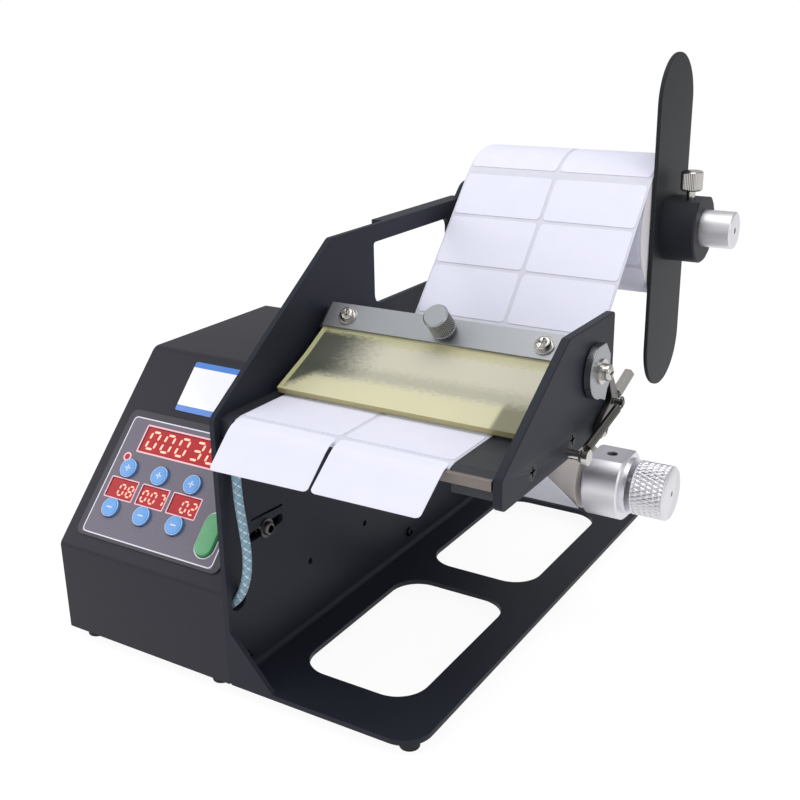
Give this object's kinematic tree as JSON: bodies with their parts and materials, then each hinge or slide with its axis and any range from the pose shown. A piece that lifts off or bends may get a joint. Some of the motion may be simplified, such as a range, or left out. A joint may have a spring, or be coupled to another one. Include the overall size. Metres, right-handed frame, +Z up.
{
  "type": "label dispenser machine",
  "caption": "Desk-top label dispenser: a bent frame with a drive housing and key panel, a peel head with rollers, a cam and release lever, a supply roll with a width guide and a liner rewind.",
  "frame": {"origin": "middle of the footprint, on the bench", "axes": "+X along the rollers, from the drive housing to the hand knob; +Y from the peel edge to the supply roll; +Z up"},
  "size_m": [0.2528, 0.2805, 0.266],
  "materials": {
    "black_powder_coat": "fine matt texture",
    "black_anodised": "satin",
    "black_steel": "satin",
    "brushed_stainless": "brushed lengthwise",
    "bright_steel": "bright nickel",
    "spring_steel": "dark, oiled",
    "turned_aluminium": "fine turned",
    "bronze": "oiled",
    "black_rubber": "matt",
    "roller_rubber": "matt, ground",
    "clear_urethane": "translucent, pale yellow",
    "white_label": "smooth",
    "liner_paper": "waxed",
    "waste_liner": "layered",
    "core_board": "matt",
    "panel_skin": "fine grain",
    "red_display": "dark red window, lit digits",
    "blue_key": "satin",
    "green_key": "satin",
    "circuit_board": "solder mask",
    "motor_black": "satin",
    "black_plastic": "satin",
    "braided_sleeve": "woven, grey and pale blue",
    "sticker_paper": "gloss, two blue bands"
  },
  "bodies": {
    "machine_frame": {"bearing_block": "black_anodised", "black_screws": "black_steel", "blank_sticker": "sticker_paper", "control_board": "circuit_board", "control_membrane": "panel_skin", "digit_displays": "red_display", "drive_belts": "black_rubber", "drive_motor": "motor_black", "frame_sheet": "black_powder_coat", "gap_sensor": "black_plastic", "guide_rod": "bright_steel", "housing_base": "black_powder_coat", "housing_shell": "black_powder_coat", "lever_spring": "spring_steel", "lever_studs": "bright_steel", "liner_web": "liner_paper", "peel_strip": "brushed_stainless", "peel_table": "black_anodised", "peeled_labels": "white_label", "plain_screws": "bright_steel", "power_board": "circuit_board", "power_entry": "black_plastic", "pressure_shaft": "bright_steel", "right_plate": "black_powder_coat", "rubber_feet": "black_rubber", "sensor_lead": "braided_sleeve", "wall_bushes": "bronze", "web_labels": "white_label"},
    "supply": {"supply_spindle": "bright_steel", "roll_core": "core_board", "label_roll": "white_label"},
    "width_guide": {"guide_paddle": "black_powder_coat", "guide_collar": "black_powder_coat"},
    "guide_thumbscrew": {"guide_screw": "bright_steel"},
    "rewind": {"rewind_shaft": "bright_steel", "waste_roll": "waste_liner", "rewind_hub": "turned_aluminium", "hub_set_screw": "black_steel", "rewind_knob": "turned_aluminium"},
    "drive": {"drive_shaft": "bright_steel", "drive_roller": "roller_rubber"},
    "motor_rotor": {"motor_pulley": "turned_aluminium"},
    "swing_guide": {"cross_beam": "black_anodised", "clamp_bar": "brushed_stainless", "guide_plate": "clear_urethane", "bar_screws": "bright_steel", "cam_plate": "bright_steel", "cam_screw": "bright_steel"},
    "pressure": {"pressure_roller": "roller_rubber"},
    "lever": {"release_lever": "bright_steel", "lever_handle": "bright_steel"},
    "clamp_thumbscrew": {"clamp_screw": "bright_steel"},
    "rocker": {"rocker_switch": "black_plastic"},
    "enter_button": {"enter_key": "green_key"},
    "plus_button_1": {"plus_key_1": "blue_key"},
    "plus_button_2": {"plus_key_2": "blue_key"},
    "plus_button_3": {"plus_key_3": "blue_key"},
    "minus_button_1": {"minus_key_1": "blue_key"},
    "minus_button_2": {"minus_key_2": "blue_key"},
    "minus_button_3": {"minus_key_3": "blue_key"}
  },
  "joints": [
    {"name": "supply_spin", "type": "hinge", "parent": "machine_frame", "child": "supply", "pos_m": [0.0384, 0.10505, 0.182], "axis": [1, 0, 0], "continuous": true},
    {"name": "guide_slide", "type": "slide", "parent": "supply", "child": "width_guide", "axis": [1, 0, 0], "range_m": [0, 0.045]},
    {"name": "guide_screw_turn", "type": "hinge", "parent": "width_guide", "child": "guide_thumbscrew", "pos_m": [0.09753, 0.10505, 0.202], "axis": [0, 0, 1], "range_deg": [0, 360]},
    {"name": "drive_spin", "type": "hinge", "parent": "machine_frame", "child": "drive", "pos_m": [0.0384, -0.04075, 0.1187], "axis": [1, 0, 0], "continuous": true},
    {"name": "motor_spin", "type": "hinge", "parent": "machine_frame", "child": "motor_rotor", "pos_m": [-0.0336, -0.04075, 0.064], "axis": [1, 0, 0], "continuous": true},
    {"name": "rewind_spin", "type": "hinge", "parent": "machine_frame", "child": "rewind", "pos_m": [0.0384, 0.01425, 0.0773], "axis": [1, 0, 0], "continuous": true},
    {"name": "guide_lift", "type": "hinge", "parent": "machine_frame", "child": "swing_guide", "pos_m": [0.0384, -0.04375, 0.1506], "axis": [1, 0, 0], "range_deg": [-60, 0]},
    {"name": "pressure_spin", "type": "hinge", "parent": "machine_frame", "child": "pressure", "pos_m": [0.0384, -0.04075, 0.139], "axis": [1, 0, 0], "continuous": true},
    {"name": "lever_swing", "type": "hinge", "parent": "machine_frame", "child": "lever", "pos_m": [0.1099, -0.03775, 0.1236], "axis": [1, 0, 0], "range_deg": [-25, 0], "stiffness_Nm_per_rad": 0.06, "springref_deg": 8.59, "deforming": ["lever_spring"]},
    {"name": "clamp_screw_turn", "type": "hinge", "parent": "swing_guide", "child": "clamp_thumbscrew", "pos_m": [0.0437, -0.04881, 0.15939], "axis": [0, -0.6947, 0.7193], "range_deg": [0, 360]},
    {"name": "rocker_tilt", "type": "hinge", "parent": "machine_frame", "child": "rocker", "pos_m": [-0.0611, 0.04025, 0.034], "axis": [1, 0, 0], "range_deg": [-16, 0]},
    {"name": "enter_press", "type": "slide", "parent": "machine_frame", "child": "enter_button", "axis": [0, 0.7227, -0.6912], "range_m": [0, 0.0008], "stiffness_N_per_m": 400, "springref_m": -0.0005},
    {"name": "plus_press_1", "type": "slide", "parent": "machine_frame", "child": "plus_button_1", "axis": [0, 0.7227, -0.6912], "range_m": [0, 0.0008], "stiffness_N_per_m": 300, "springref_m": -0.0005},
    {"name": "plus_press_2", "type": "slide", "parent": "machine_frame", "child": "plus_button_2", "axis": [0, 0.7227, -0.6912], "range_m": [0, 0.0008], "stiffness_N_per_m": 300, "springref_m": -0.0005},
    {"name": "plus_press_3", "type": "slide", "parent": "machine_frame", "child": "plus_button_3", "axis": [0, 0.7227, -0.6912], "range_m": [0, 0.0008], "stiffness_N_per_m": 300, "springref_m": -0.0005},
    {"name": "minus_press_1", "type": "slide", "parent": "machine_frame", "child": "minus_button_1", "axis": [0, 0.7227, -0.6912], "range_m": [0, 0.0008], "stiffness_N_per_m": 300, "springref_m": -0.0005},
    {"name": "minus_press_2", "type": "slide", "parent": "machine_frame", "child": "minus_button_2", "axis": [0, 0.7227, -0.6912], "range_m": [0, 0.0008], "stiffness_N_per_m": 300, "springref_m": -0.0005},
    {"name": "minus_press_3", "type": "slide", "parent": "machine_frame", "child": "minus_button_3", "axis": [0, 0.7227, -0.6912], "range_m": [0, 0.0008], "stiffness_N_per_m": 300, "springref_m": -0.0005}
  ],
  "couplings": [
    {"joint": "drive_spin", "follows": "supply_spin", "ratio": 2.7077},
    {"joint": "rewind_spin", "follows": "supply_spin", "ratio": 2.271},
    {"joint": "pressure_spin", "follows": "supply_spin", "ratio": -5.8667},
    {"joint": "motor_spin", "follows": "supply_spin", "ratio": 2.7077}
  ]
}
